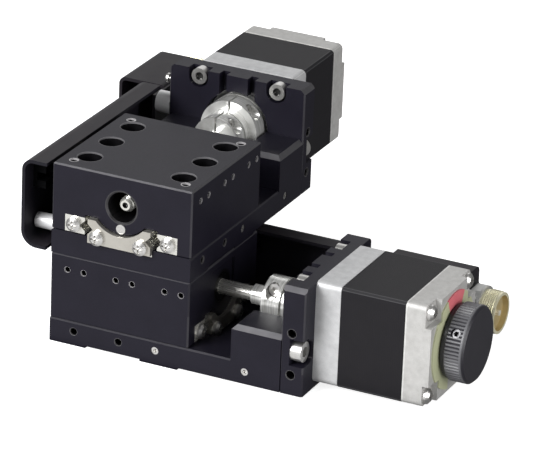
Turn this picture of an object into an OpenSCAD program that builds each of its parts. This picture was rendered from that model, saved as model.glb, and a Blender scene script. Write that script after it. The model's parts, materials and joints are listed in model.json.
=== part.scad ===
/* [Stage] */
// Height of one stage, from its base face to its table face
stage_h = 25; // [24:0.5:28]
// Length of the table along its travel
table_l = 40; // [38:1:60]
// Width of the table and the base across the travel
table_w = 40; // [40:1:50]
// Travel of the table each way from the middle
travel = 10; // [4:0.5:10]
// Height of the feed screw's axis above the base face
axis_z = 16.5; // [16.5:0.25:17]
// Gap between the base's top and the table's underside
slide_gap = 0.3; // [0.2:0.05:0.5]
// Chamfer along the long edges of the black blocks
edge_chamfer = 0.4; // [0.2:0.1:0.6]

/* [Base] */
// Thickness of the base plate
base_h = 6.6; // [6.2:0.1:7]
// Space left between the table and the raised block at the end of the travel
block_gap = 2.2; // [2:0.1:4]
// Length of the raised block in front of the motor bracket
block_l = 14; // [12:0.5:18]
// Height of the raised block
block_h = 16.3; // [15.5:0.1:17]
// Chamfer round the top of the raised block
block_chamfer = 1.2; // [0.5:0.1:1.5]
// Width of the trough that the coupling turns in
trough_w = 18; // [17.8:0.1:20]
// Thickness of base left under the trough and the rail groove
floor_t = 4.8; // [4.6:0.1:5.2]
// Depth of the relief under the base
relief_depth = 0.6; // [0.3:0.1:0.8]
// Length of the relief under the base
relief_l = 15.8; // [12:0.1:18]
// Place of the relief's middle along the travel
relief_x = -1.6; // [-3:0.1:0]
// Length of the foot behind the relief
foot_l = 10.8; // [8:0.1:12]
// Distance of the four fixing holes from the table's nearer sides
bolt_inset = 4; // [4:0.1:5]
// Radius of the fixing holes
bolt_hole_r = 1.45; // [1.4:0.05:1.5]
// Height of the tapped holes in the base's near side
side_hole_z = 3.9; // [3.2:0.1:4.4]

/* [Guide] */
// How far the outer rails reach past the fixing holes' middles
rail_reach = 0.1; // [-0.2:0.1:0.2]
// Height of the centre rail above the floor of its groove
centre_rail_h = 7.1; // [6.8:0.1:7.3]
// Thickness of the centre rail left under the scoop
scoop_floor = 3.8; // [3.6:0.1:4]
// Gap between the centre rail and each outer rail
rail_gap = 1.4; // [1.3:0.1:1.6]
// Width of each outer rail
outer_rail_w = 5.7; // [5.5:0.1:6]
// Height of each outer rail
outer_rail_h = 4.6; // [4.4:0.1:5]
// Diameter of the crossed rollers
roller_d = 3; // [2.8:0.1:3]
// Length of the crossed rollers
roller_l = 2.7; // [2.4:0.1:2.7]
// Rollers in each row
roller_count = 7; // [5:1:7]
// Pitch of the rollers along the row
roller_pitch = 4; // [3.8:0.1:4.2]
// Room round each roller
roller_play = 0.03; // [0.02:0.01:0.05]
// Thickness of the roller cage
cage_t = 0.6; // [0.5:0.1:0.8]
// Height of the roller cage
cage_h = 4.9; // [4.8:0.05:4.9]
// Thickness of the plates on the centre rail's ends
end_plate_t = 1.2; // [1:0.1:1.5]
// How far those plates stand above the floor of the rail's groove
end_plate_lift = 0.6; // [0:0.1:0.6]

/* [Table] */
// Width of the tunnel that the bearing block passes through
tunnel_w = 12.6; // [12.4:0.1:13]
// Thickness of table left over the tunnel
tunnel_roof = 2.1; // [1.8:0.1:2.3]
// Gap between the centre rail's scoop and the nose of the table over it
nose_gap = 0.5; // [0.4:0.1:0.8]
// Radius of the stop pin in the nose
pin_r = 1.3; // [1:0.1:1.3]
// Radius of the hole round the screw at the table's end
end_hole_r = 4.1; // [3.9:0.1:4.3]
// Distance of the rail screws from their rail's outer side
rail_screw_set = 2.6; // [2.5:0.1:2.9]
// Distance of the outer rail screws from the table's ends
rail_screw_inset = 8; // [7.8:0.1:9]
// Radius of the rail screws' counterbores
counterbore_r = 3.3; // [3:0.1:3.3]
// Depth of the rail screws' counterbores
counterbore_depth = 10; // [8:0.5:10.5]
// Depth of the tapped holes in the table's corners
table_hole_depth = 8; // [6:0.5:8]
// Height of the small holes in the table's sides
pair_z = 21; // [20:0.25:22]
// Distance of the outer pairs' middles from the table's ends
pair_inset = 6; // [6:0.5:8]
// Distance between the two holes of a pair
pair_gap = 4.7; // [4:0.1:5]
// Place of the middle pair along the table
pair_x = 1.2; // [0.5:0.1:1.5]

/* [Drive] */
// Radius of the feed screw
screw_r = 2.1; // [2.1:0.05:2.3]
// Radius of the screw's bearing journal and shaft
journal_r = 2; // [1.9:0.05:2]
// Distance of the screw's end inside the table's end face
screw_recess = 2; // [1:0.5:3]
// Length of the bearing block along the screw
bearing_block_l = 6.6; // [6.4:0.1:7]
// Width of the bearing block
bearing_block_w = 11.2; // [10.8:0.1:11.6]
// Outer radius of the screw's ball bearings
bearing_r = 4; // [3.8:0.1:4.2]
// Width of each ball bearing
bearing_l = 3; // [2.6:0.1:3]
// Radius of the feed nut's flange
nut_flange_r = 5.8; // [5.4:0.1:5.8]
// Thickness of the feed nut's flange
nut_flange_t = 3; // [2:0.25:3]
// Length of the feed nut's body inside the table
nut_body_l = 6; // [5:0.5:8]
// Radius of the coupling's small hub
hub_r = 6.3; // [6:0.1:6.6]
// Length of the coupling's small hub
hub_l = 8.1; // [7.5:0.1:9]
// Length of the part of the hub that its slit lets close
hub_slit_l = 5; // [4.5:0.1:5.5]
// Radius of the coupling's large end
drum_r = 8.3; // [8:0.05:8.3]
// Length of the coupling's large end
drum_l = 8.2; // [7:0.2:8.2]
// Length of the part of the large end that its slit lets close
drum_slit_l = 5; // [4.5:0.1:5.5]
// Radius of the coupling's nose collar
collar_r = 2.7; // [2.6:0.1:3.2]
// Length of the coupling's nose collar
collar_l = 4.6; // [2:0.1:4.8]
// Width of the coupling's slits
slit_w = 0.6; // [0.4:0.1:0.7]

/* [Motor] */
// Side of the square motor
motor_w = 28; // [28:0.5:29]
// Corner radius of the motor's end castings
motor_corner_r = 1.5; // [1:0.1:2.4]
// Thickness of the motor's front flange
flange_t = 6.9; // [6:0.1:8]
// Length of the motor's laminated stack
stack_l = 17.9; // [16:0.1:30]
// Bevel along the stack's corners
stack_bevel = 0.6; // [0.4:0.1:1.6]
// Thickness of the motor's rear cap
rear_cap_t = 7.2; // [6.5:0.1:8]
// Distance of the motor's screws from its sides
motor_bolt_inset = 2.5; // [2.4:0.1:2.7]
// Radius of the motor's pilot boss
pilot_r = 11; // [10:0.25:11]
// Length of the motor's pilot boss
pilot_l = 2; // [1.5:0.1:2]
// Radius of the motor's shaft
shaft_r = 2.5; // [2.2:0.1:2.5]
// Radius of the rotor's core
rotor_r = 8.4; // [7.5:0.1:8.6]
// Radial gap round the rotor's core
rotor_gap = 0.3; // [0.3:0.05:0.4]
// Depth of the winding slots round the rotor's bore
slot_depth = 3; // [2:0.1:3]
// Width of the winding slots
slot_w = 4.2; // [3:0.1:4.4]
// Running clearance round a shaft
run_gap = 0.05; // [0.03:0.01:0.08]
// Side of the notches in the rear cap's corners
notch_w = 6; // [5:0.1:6.2]
// Depth of the notches in the rear cap's corners
notch_depth = 1.7; // [1.5:0.1:2.5]
// Distance of the ring on the motor's rear from the motor's sides
ring_inset = 1; // [0.6:0.1:2]
// Radius of the hole in that ring
ring_hole_r = 6.5; // [4:0.1:8]
// Thickness of the ring on the motor's rear
ring_t = 0.4; // [0.3:0.1:0.6]

/* [Bracket] */
// Thickness of the motor bracket
bracket_t = 6.4; // [6.2:0.1:7]
// How far the motor bracket's top lies under the motor's
bracket_drop = 0.3; // [0:0.1:0.6]
// Chamfer of the bracket's top corners
bracket_corner = 1.2; // [1:0.1:2.5]
// Radius of the bracket's bore round the coupling
bracket_bore_r = 9.4; // [9:0.1:9.6]
// Depth of the counterbores of the motor screws
motor_screw_depth = 3; // [2.8:0.1:3.2]
// Radius of the counterbores of the motor screws
motor_screw_seat_r = 2.9; // [2.6:0.1:2.9]
// Distance of the bracket screws from the bracket's sides
bracket_screw_inset = 2.9; // [2.9:0.1:3.2]
// Height of the bracket screws
bracket_screw_z = 12; // [11.5:0.1:12.2]
// Radius of the notches round the bracket screws
bracket_notch_r = 3.3; // [3.2:0.1:3.4]
// How much higher the notches open at the bracket's sides
bracket_notch_rise = 0.7; // [0:0.1:0.7]
// Width of the two grooves over the bracket's bore
groove_w = 2.2; // [1.8:0.1:2.4]
// Distance of the grooves' middles from the bracket's middle
groove_y = 4.2; // [4:0.1:4.4]
// Depth of the two grooves
groove_depth = 2.6; // [2:0.1:3]
// Height of the upper side hole of the bracket
side_tap_high = 17.6; // [17.2:0.1:18]
// Height of the lower side hole of the bracket
side_tap_low = 6.1; // [5.8:0.1:6.4]

/* [Knob] */
// Diameter of the knob
knob_d = 20.6; // [18:0.2:21]
// Length of the knob's knurled band
knob_l = 5.4; // [4:0.1:7]
// Chamfer at the knob's front
knob_chamfer = 0.7; // [0.5:0.1:1.4]
// Ribs round the knob
knob_ribs = 64; // [40:2:66]
// Depth of the knob's ribs
rib_depth = 0.35; // [0.2:0.05:0.4]
// Radius of the knob's rear hub
knob_hub_r = 9.7; // [8:0.1:9.8]
// Length of the knob's rear hub
knob_hub_l = 1; // [1:0.1:2]
// Space between the motor's rear and the knob
knob_gap = 0.9; // [0.8:0.1:1.2]
// Turn of the knob's set screw above the level
set_screw_turn = 35; // [0:5:60]

/* [Cover] */
// Gap between the stage's side and the sensor cover's lips
cover_gap = 1.7; // [1.5:0.1:1.9]
// Width of the sensor cover
cover_w = 7.2; // [7:0.1:7.6]
// Height of the sensor cover
cover_h = 24.2; // [23:0.1:24.2]
// Sheet thickness of the sensor cover and the connector box
sheet_t = 0.9; // [0.8:0.1:1]
// Upper bend radius of the sensor cover
cover_top_r = 3; // [2.5:0.1:3.5]
// Lower bend radius of the sensor cover
cover_low_r = 4.4; // [4:0.1:5]
// Distance of the sensor cover's rear end from the motor bracket
cover_end_gap = 2.2; // [1.5:0.1:3]
// Radius of the cover's spacers
cover_spacer_r = 2.1; // [2:0.1:2.3]
// Height of the cover's spacers
cover_spacer_z = 4.9; // [4.6:0.1:5]
// Distance of the front spacer from the nearest fixing hole
front_spacer_set = 3; // [3:0.1:4]
// Length of each limit sensor
sensor_l = 6; // [5:0.5:6]
// Slot of each limit sensor
sensor_slot = 2.2; // [2:0.1:2.4]
// Thickness of each limit sensor's prongs
sensor_prong = 2; // [1.6:0.1:2]
// Thickness of each limit sensor behind its slot
sensor_back = 1; // [0.8:0.1:1.2]
// Height of the limit sensors' slots
sensor_z = 18; // [17:0.25:18.5]

/* [Connector] */
// Length of the connector box
box_l = 22.8; // [20:0.2:24]
// Width of the connector box
box_w = 14.3; // [14:0.1:15]
// Height of the connector box
box_h = 20.3; // [19:0.1:21]
// Bend radius of the connector box
box_r = 2; // [1.5:0.1:2.5]
// Distance of the box's inner wall from the stage's side
box_gap = 4.2; // [4:0.1:4.5]
// Radius of the box's spacers
box_spacer_r = 3; // [2.6:0.1:3]
// Radius of the connector's shell
shell_r = 5.6; // [5:0.1:5.8]
// Length of the connector's shell
shell_l = 4.6; // [4:0.1:7]
// Radius of the seal under the connector's fixing nut
seal_r = 7; // [6.8:0.1:7.1]
// Thickness of that seal
seal_t = 1; // [0.6:0.1:1.2]
// Radius of the connector's centre contact
contact_r = 0.8; // [0.5:0.1:1]
// Radius of the connector's fixing nut
nut_r = 6.4; // [6:0.1:6.6]
// Length of the connector's fixing nut
nut_l = 5; // [3:0.1:5.5]
// Height of the connector's axis
connector_z = 11.6; // [11:0.1:12]

/* [Hidden] */

// Facets of round shapes
$fn = 48;
// Overshoot of cutting shapes
cut = 1;

// Colours of the finishes
black = "#2e2c34";
dark = "#1c1b20";
steel = "#c9c6be";
silver = "#c4c4c6";
bronze = "#b08d57";
gold = "#c9b878";

// Play between a fixed piece and its seat
seat_play = 0.02;
// Core radius and head sizes of the M3, M2.5 and M2 screws, and the M2.5 thread's outer radius
m3_core_r = 1.25;
m3_head_r = 2.75;
m3_head_l = 3;
m25_r = 1.25;
m25_core_r = 1.05;
m25_head_r = 2.25;
m25_head_l = 2.5;
m2_core_r = 0.8;
m2_head_r = 2;
m2_head_l = 1.4;
// Clearance hole round an M2.5 screw
m25_clear_r = 1.35;
// Width of a socket in a screw's head, as a share of its radius
socket_share = 0.55;
// Depth of a socket in a screw's head, as a share of its length
socket_depth_share = 0.5;

// Levels, from the base face up
table_z0 = base_h + slide_gap;
rail_top = floor_t + centre_rail_h;
guide_z = table_z0 + outer_rail_h / 2;
table_half = table_l / 2;
half_w = table_w / 2;
bolt_pitch = min(table_l, table_w) - 2 * bolt_inset;
motor_bolt_pitch = motor_w - 2 * motor_bolt_inset;
ring_r = motor_w / 2 - ring_inset;
bracket_h = axis_z + motor_w / 2 - bracket_drop;
bracket_screw_y = half_w - bracket_screw_inset;
// The tunnel's floor clears the centre rail
tunnel_z0 = rail_top + 0.4;
tunnel_top = stage_h - tunnel_roof;
// The rails' seats, from the fixing holes inwards
outer_y1 = bolt_pitch / 2 + rail_reach;
outer_y0 = outer_y1 - outer_rail_w;
outer_mid = outer_y1 - rail_screw_set;
centre_rail_w = 2 * (outer_y0 - rail_gap);
rail_screw_pitch = table_half - rail_screw_inset;
// The scoop's centre, which the table's nose shares
scoop_r = centre_rail_w / 2;
scoop_z = floor_t + scoop_floor + scoop_r;
nose_r = scoop_r - nose_gap;
pin_z = scoop_z - nose_r + pin_r + 0.2;
// The pairs of small holes, which end short of the counterbores
pair_pitch = table_half - pair_inset;
pair_depth = half_w - outer_mid - counterbore_r - 0.5;
// A square channel of the rollers' size lies cornerwise across the rail gap
vee_half = (roller_d + 2 * roller_play) * sqrt(2) / 2;

// Stations along the travel, from the base's front end to the knob
block_x0 = table_half + travel + block_gap;
bracket_x0 = block_x0 + block_l;
motor_x0 = bracket_x0 + bracket_t;
stack_x0 = motor_x0 + flange_t;
rear_x0 = stack_x0 + stack_l;
rear_x1 = rear_x0 + rear_cap_t;
knob_x0 = rear_x1 + knob_gap;
band_x0 = knob_x0 + knob_hub_l;
knob_x1 = band_x0 + knob_l;
// The groove for the centre rail leaves room for the end plate and its screws
rail_groove_end = table_half + end_plate_t + m2_head_l + 1;
// The bearing block stands at the rail's rear end, clear of the nut at the end of the travel
bearing_x1 = table_half - 0.4;
bearing_x0 = bearing_x1 - bearing_block_l;
nut_clear = 2;
nut_face_x = bearing_x0 - nut_clear - travel - nut_flange_t;
screw_x0 = screw_recess - table_half;
bearing_floor = floor_t + 2.8;
bearing_top = tunnel_top - 0.5;
// The rings of the two bearings share the journal and the block's bore
bearing_gap = bearing_block_l - 2 * bearing_l - 0.4;
bearing_starts = [bearing_x0 + 0.2, bearing_x0 + 0.2 + bearing_l + bearing_gap];
ring_wall = 0.7;
// The coupling's stations, back from the motor bracket's rear
drum_x1 = motor_x0 - pilot_l - 0.6;
drum_x0 = drum_x1 - drum_l;
hub_x0 = drum_x0 - hub_l;
collar_x0 = hub_x0 - collar_l;
shaft_x0 = drum_x0 + 1.2;
screw_x1 = drum_x0 - 1.4;
// The sensor cover
cover_y0 = half_w + cover_gap;
cover_y1 = cover_y0 + cover_w;
cover_x0 = -table_half;
cover_x1 = bracket_x0 - cover_end_gap;
rear_spacer_x = block_x0 + 4;
front_spacer_x = front_spacer_set - bolt_pitch / 2;
screw_hole_x = 10.6;
sensor_x = travel + sensor_l / 2 + 0.5;
sensor_w = cover_w / 2;
sensor_y0 = cover_y1 - sheet_t - sensor_w;
dog_t = 0.8;
dog_half = 2;
// The connector box
box_x0 = motor_x0 + 0.2;
box_x1 = box_x0 + box_l;
box_y0 = half_w + box_gap;
box_y1 = box_y0 + box_w;
box_z0 = 0.3;
box_z1 = box_z0 + box_h;
box_mid_y = (box_y0 + box_y1) / 2;
side_tap_x = bracket_x0 + 2.9;
side_tap_depth = 4.5;
tab_x0 = bracket_x0 + 0.2;
shell_x0 = box_x1 + nut_l;
shell_x1 = shell_x0 + shell_l;

// Bar between two corners
module bar(a, b) {
  translate(a) cube(b - a);
}

// Bar mirrored to both sides of the travel axis
module twin_bar(a, b) {
  for (side = [0, 1]) mirror([0, side, 0]) bar(a, b);
}

// Bar along the travel with chamfered long top edges
module chamfered_bar(x0, x1, half, z0, z1, c) {
  outline = [[-half, z0], [half, z0], [half, z1 - c], [half - c, z1], [c - half, z1], [-half, z1 - c]];
  along_x(x0, x1) polygon(outline);
}

// Bar whose end and upright edges are chamfered too
module eased_block(x0, x1, half, z0, z1, c) {
  side = [[x0, z0], [x1, z0], [x1, z1 - c], [x1 - c, z1], [x0 + c, z1], [x0, z1 - c]];
  plan = [
    [x0 + c, -half], [x1 - c, -half], [x1, c - half], [x1, half - c],
    [x1 - c, half], [x0 + c, half], [x0, half - c], [x0, c - half],
  ];
  intersection() {
    chamfered_bar(x0, x1, half, z0, z1, c);
    translate([0, half + cut, 0]) rotate([90, 0, 0]) linear_extrude(2 * half + 2 * cut) polygon(side);
    translate([0, 0, z0 - cut]) linear_extrude(z1 - z0 + 2 * cut) polygon(plan);
  }
}

// Extrude an outline drawn across the travel, from one station to another
module along_x(x0, x1) {
  translate([x0, 0, 0]) rotate([90, 0, 90]) linear_extrude(x1 - x0) children();
}

// Round bar along the travel
module rod_x(x0, x1, r, y = 0, z = 0) {
  translate([x0, y, z]) rotate([0, 90, 0]) cylinder(h = x1 - x0, r = r);
}

// Round bar across the travel
module rod_y(y0, y1, r, x = 0, z = 0) {
  translate([x, y1, z]) rotate([90, 0, 0]) cylinder(h = y1 - y0, r = r);
}

// Round bar along the height
module rod_z(z0, z1, r, x = 0, y = 0) {
  translate([x, y, z0]) cylinder(h = z1 - z0, r = r);
}

// Socket head cap screw standing on its seat at the origin, with its shank down
module cap_screw(core_r, shank_l, head_r, head_l) {
  difference() {
    union() {
      cylinder(h = head_l, r = head_r);
      translate([0, 0, -shank_l]) cylinder(h = shank_l, r = core_r);
    }
    translate([0, 0, head_l * (1 - socket_depth_share)])
      cylinder(h = head_l, r = head_r * socket_share, $fn = 6);
  }
}

// Domed screw with a cross recess, standing on its seat at the origin
module pan_screw(core_r, shank_l, head_r, head_l) {
  recess = head_r * 0.22;
  dome = [[0, 0], [head_r, 0], [head_r, head_l * 0.55], [head_r * 0.6, head_l], [0, head_l]];
  difference() {
    union() {
      rotate_extrude() polygon(dome);
      translate([0, 0, -shank_l]) cylinder(h = shank_l, r = core_r);
    }
    for (turn = [0, 90]) rotate([0, 0, turn])
      bar([-head_r * 0.62, -recess / 2, head_l * 0.45], [head_r * 0.62, recess / 2, head_l + cut]);
  }
}

// Place a screw so that its head faces back or forward along the travel
module facing_x(x, y, z, way) {
  translate([x, y, z]) rotate([0, 90 * way, 0]) children();
}

// Four places of a square pattern about the origin
module square_pattern(pitch) {
  for (x = [-1, 1], y = [-1, 1]) translate([x * pitch / 2, y * pitch / 2, 0]) children();
}

// Four places of the motor's screws, at a station along the axis
module motor_pattern(x) {
  for (y = [-1, 1], z = [-1, 1])
    translate([x, y * motor_bolt_pitch / 2, axis_z + z * motor_bolt_pitch / 2]) children();
}

// Stations of the tapped holes in the base's near side, and of the cover's spacers in the other
side_holes = [front_spacer_x, 0, screw_hole_x, rear_spacer_x];
cover_spacer_x = [front_spacer_x, rear_spacer_x];
// Stations of the screws that hold the centre rail down
rail_down_x = [-0.7 * table_half, -0.1 * table_half, 0.4 * table_half];
// The bearing block's two screws
bearing_screw_x = (bearing_x0 + bearing_x1) / 2;
bearing_screw_y = 3.9;
down_head_depth = 2.7;

// Places of the screws put in from under the base
module down_screw_places() {
  for (x = rail_down_x) translate([x, 0, 0]) children();
  for (side = [-1, 1]) translate([bearing_screw_x, side * bearing_screw_y, 0]) children();
}

// Seat of the screws that join the base to what it stands on
joint_seat = base_h - m25_head_l - 0.2;
// The spacers' studs end short of those screws' heads
stud_grip = 1.6;

// Base plate with the raised block, made from one piece
module base() {
  groove = centre_rail_w / 2 + seat_play;
  color(black) difference() {
    union() {
      chamfered_bar(-table_half, bracket_x0, half_w, 0, base_h, edge_chamfer);
      difference() {
        chamfered_bar(block_x0, bracket_x0, half_w, 0, block_h, block_chamfer);
        translate([block_x0, 0, block_h]) rotate([0, 45, 0])
          cube([block_chamfer * sqrt(2), table_w + cut, block_chamfer * sqrt(2)], center = true);
      }
    }
    bar([-table_half - cut, -groove, floor_t], [rail_groove_end, groove, base_h + cut]);
    bar([block_x0 - cut, -trough_w / 2, base_h], [bracket_x0 + cut, trough_w / 2, block_h + cut]);
    difference() {
      union() {
        bar([relief_x - relief_l / 2, -half_w - cut, -cut],
          [relief_x + relief_l / 2, half_w + cut, relief_depth]);
        bar([relief_x + relief_l / 2 + foot_l, -half_w - cut, -cut],
          [bracket_x0 + cut, half_w + cut, relief_depth]);
      }
      square_pattern(bolt_pitch) rod_z(-2 * cut, relief_depth + cut, bolt_hole_r + 1.7);
    }
    square_pattern(bolt_pitch) {
      rod_z(-cut, base_h + cut, bolt_hole_r);
      rod_z(joint_seat, base_h + cut, m25_head_r + 0.25);
    }
    for (x = side_holes) rod_y(-half_w - cut, 5 - half_w, m25_core_r, x, side_hole_z);
    for (x = cover_spacer_x) rod_y(half_w - stud_grip - 0.1, half_w + cut, m3_core_r, x, cover_spacer_z);
    down_screw_places() {
      rod_z(-cut, floor_t + cut, m25_clear_r);
      rod_z(-cut, down_head_depth, m25_head_r + 0.25);
    }
    for (side = [-1, 1]) translate([bracket_x0, side * bracket_screw_y, bracket_screw_z])
      rod_x(-bracket_grip - 2, cut, m3_core_r);
  }
}

// Cross section of the centre rail from a level up, with its side grooves and the scoop in its top
module centre_rail_profile(low, scoop) {
  half = centre_rail_w / 2;
  depth = vee_half - rail_gap / 2;
  difference() {
    polygon([
      [-half, low], [half, low], [half, guide_z - depth], [half - depth, guide_z],
      [half, guide_z + depth], [half, rail_top], [-half, rail_top],
      [-half, guide_z + depth], [depth - half, guide_z], [-half, guide_z - depth],
    ]);
    translate([0, scoop]) circle(scoop_r, $fn = 96);
  }
}

// Centre rail that the table runs along
module centre_rail() {
  pocket = bearing_block_w / 2 + seat_play;
  color(steel) difference() {
    along_x(-table_half, table_half) centre_rail_profile(floor_t, scoop_z);
    bar([bearing_x0 - seat_play, -pocket, bearing_floor], [bearing_x1 + seat_play, pocket, rail_top + cut]);
    down_screw_places() rod_z(floor_t - cut, bearing_floor + cut, m25_core_r + seat_play);
    for (end = [-1, 1], side = [-1, 1]) translate([end * (table_half - 2), side * end_screw_y, end_screw_z])
      rod_x(-3, 3, m2_core_r + seat_play);
  }
}

// Places of the screws that hold the end plates
end_screw_y = centre_rail_w / 2 - 2.8;
end_screw_z = floor_t + end_plate_lift + m2_head_r - 0.1;

// Plates that keep the rollers in, on both ends of the centre rail
module end_plates() {
  color(steel) for (end = [0, 1]) mirror([end, 0, 0]) difference() {
    along_x(table_half, table_half + end_plate_t)
      centre_rail_profile(floor_t + end_plate_lift, scoop_z + nose_gap / 2);
    for (side = [-1, 1]) translate([table_half, side * end_screw_y, end_screw_z])
      rod_x(-cut, end_plate_t + cut, m2_core_r + 0.15);
  }
}

// Set screw with a socket, a little inside the mouth of a side hole
module socket_plug() {
  difference() {
    rod_y(0.2, 4, m25_core_r - seat_play);
    translate([0, 1.2, 0]) rotate([90, 0, 0]) cylinder(h = 1 + cut, r = m25_core_r * socket_share, $fn = 6);
  }
}

// Screws of the base: under the rails, in the end plates and in the side holes
module base_screws(joined) {
  plate_x = table_half + end_plate_t;
  color(silver) {
    down_screw_places() translate([0, 0, down_head_depth]) rotate([180, 0, 0])
      cap_screw(m25_core_r, bearing_floor - down_head_depth, m25_head_r, m25_head_l);
    for (side = [-1, 1]) {
      facing_x(plate_x, side * end_screw_y, end_screw_z, 1) pan_screw(m2_core_r, 3, m2_head_r, m2_head_l);
      facing_x(-plate_x, side * end_screw_y, end_screw_z, -1) pan_screw(m2_core_r, 3, m2_head_r, m2_head_l);
    }
    for (x = [screw_hole_x, rear_spacer_x]) translate([x, -half_w, side_hole_z]) socket_plug();
    if (joined) square_pattern(bolt_pitch) translate([0, 0, joint_seat])
      cap_screw(m25_r - seat_play, joint_seat + table_hole_depth - 1, m25_head_r, m25_head_l);
  }
}

// Block that carries the screw's two bearings inside the table's tunnel
module bearing_block() {
  half = bearing_block_w / 2;
  color(dark) difference() {
    intersection() {
      bar([bearing_x0, -half, bearing_floor], [bearing_x1, half, bearing_top]);
      translate([0, 0, axis_z]) rotate([0, 90, 0])
        cylinder(h = bearing_x1 + cut, r = bearing_top - axis_z + 2.6);
    }
    rod_x(bearing_x0 - cut, bearing_x1 + cut, bearing_r + seat_play, 0, axis_z);
    for (side = [-1, 1]) translate([bearing_screw_x, side * bearing_screw_y, bearing_floor])
      rod_z(-cut, 4, m25_core_r + seat_play);
  }
}

// One bearing ring along the screw's axis
module ring(x0, inner, outer) {
  difference() {
    rod_x(x0, x0 + bearing_l, outer, 0, axis_z);
    rod_x(x0 - cut, x0 + bearing_l + cut, inner, 0, axis_z);
  }
}

// Outer rings of the screw's bearings
module bearing_outer_rings() {
  color(steel) for (x = bearing_starts) ring(x, bearing_r - ring_wall, bearing_r);
}

// Inner rings of the screw's bearings, with their balls' tracks closed
module bearing_inner_rings() {
  color(steel) for (x = bearing_starts) ring(x, journal_r + seat_play, bearing_r - ring_wall - run_gap);
}

// Upright plate that joins the motor to the base
module motor_bracket() {
  color(black) difference() {
    chamfered_bar(bracket_x0, motor_x0, half_w, relief_depth, bracket_h, bracket_corner);
    rod_x(bracket_x0 - cut, motor_x0 + cut, bracket_bore_r, 0, axis_z);
    rod_x(motor_x0 - pilot_l - 0.2, motor_x0 + cut, pilot_r + seat_play, 0, axis_z);
    motor_pattern(0) {
      rod_x(bracket_x0 - cut, motor_x0 + cut, m25_clear_r);
      rod_x(bracket_x0 - cut, bracket_x0 + motor_screw_depth, motor_screw_seat_r);
    }
    for (side = [-1, 1]) translate([bracket_x0, side * motor_bolt_pitch / 2, axis_z + motor_bolt_pitch / 2])
      bar([-cut, -motor_screw_seat_r, 0], [motor_screw_depth, motor_screw_seat_r, bracket_h]);
    for (side = [-1, 1]) {
      rod_x(bracket_x0 - cut, motor_x0 + cut, 1.65, side * bracket_screw_y, bracket_screw_z);
      rod_x(bracket_notch_x, motor_x0 + cut, bracket_notch_r, side * bracket_screw_y, bracket_screw_z);
    }
    twin_bar([bracket_notch_x, bracket_screw_y, bracket_screw_z - bracket_notch_r],
      [motor_x0 + cut, half_w + cut, bracket_screw_z + bracket_notch_r + bracket_notch_rise]);
    twin_bar([bracket_x0 - cut, groove_y - groove_w / 2, axis_z],
      [bracket_x0 + groove_depth, groove_y + groove_w / 2, bracket_h + cut]);
    for (side = [0, 1], z = [side_tap_low, side_tap_high]) mirror([0, side, 0])
      rod_y(half_w - side_tap_depth, half_w + cut, m3_core_r, side_tap_x, z);
    rod_y(half_w - 4, half_w + cut, m2_core_r + seat_play, stop_x, stop_z);
    for (x = [bracket_x0, motor_x0], side = [-1, 1]) translate([x, side * half_w, bracket_h / 2])
      rotate([0, 0, 45])
        cube([edge_chamfer * sqrt(2), edge_chamfer * sqrt(2), bracket_h + cut], center = true);
  }
}

// Small stop screw in the bracket's far side
stop_x = bracket_x0 + 2.3;
stop_z = 25;

// The notch's seat leaves a wall under the bracket screw's head
bracket_notch_x = bracket_x0 + 2.4;
// How far the bracket's screws go into the base
bracket_grip = 6;

// Screws of the bracket: two into the base and four into the motor
module bracket_screws() {
  color(silver) {
    for (side = [-1, 1]) facing_x(bracket_notch_x, side * bracket_screw_y, bracket_screw_z, 1)
      cap_screw(m3_core_r - seat_play, bracket_notch_x - bracket_x0 + bracket_grip, m3_head_r, m3_head_l);
    motor_pattern(bracket_x0 + motor_screw_depth) rotate([0, -90, 0])
      cap_screw(m25_core_r, bracket_t - motor_screw_depth + 3.6, m25_head_r, m25_head_l);
    translate([stop_x, half_w + 1, stop_z]) rotate([-90, 0, 0]) pan_screw(m2_core_r, 4, 1.3, 1.2);
  }
}

// Square with round corners, the section of the motor's castings
module motor_section(w, r) {
  translate([0, axis_z]) union() {
    square([w, w - 2 * r], center = true);
    square([w - 2 * r, w], center = true);
    for (y = [-1, 1], z = [-1, 1]) translate([y * (w / 2 - r), z * (w / 2 - r)]) circle(r);
  }
}

// Motor's front casting, with the pilot boss that centres it in the bracket
module motor_flange() {
  color(silver) difference() {
    union() {
      along_x(motor_x0, stack_x0) motor_section(motor_w, motor_corner_r);
      rod_x(motor_x0 - pilot_l, motor_x0 + cut, pilot_r, 0, axis_z);
    }
    rod_x(motor_x0 - pilot_l - cut, stack_x0 + cut, shaft_r + run_gap, 0, axis_z);
    motor_pattern(0) {
      rod_x(motor_x0 - cut, motor_x0 + 3.8, m25_core_r + seat_play);
      rod_x(stack_x0 - 2.6, stack_x0 + cut, m25_core_r + seat_play);
    }
  }
}

// Motor's laminated stack, bored for the rotor, with slots for the windings
module motor_stator() {
  bevel = stack_bevel;
  half = motor_w / 2 - 0.15;
  color(dark) difference() {
    along_x(stack_x0, rear_x0) translate([0, axis_z]) polygon([
      [-half, bevel - half], [bevel - half, -half], [half - bevel, -half], [half, bevel - half],
      [half, half - bevel], [half - bevel, half], [bevel - half, half], [-half, half - bevel],
    ]);
    rod_x(stack_x0 - cut, rear_x0 + cut, rotor_r + rotor_gap, 0, axis_z);
    for (turn = [22.5 : 45 : 337.5]) translate([0, 0, axis_z]) rotate([turn, 0, 0])
      bar([stack_x0 - cut, -slot_w / 2, 0], [rear_x0 + cut, slot_w / 2, rotor_r + rotor_gap + slot_depth]);
    motor_pattern(0) rod_x(stack_x0 - cut, rear_x0 + cut, m25_core_r + 0.1);
  }
}

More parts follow.
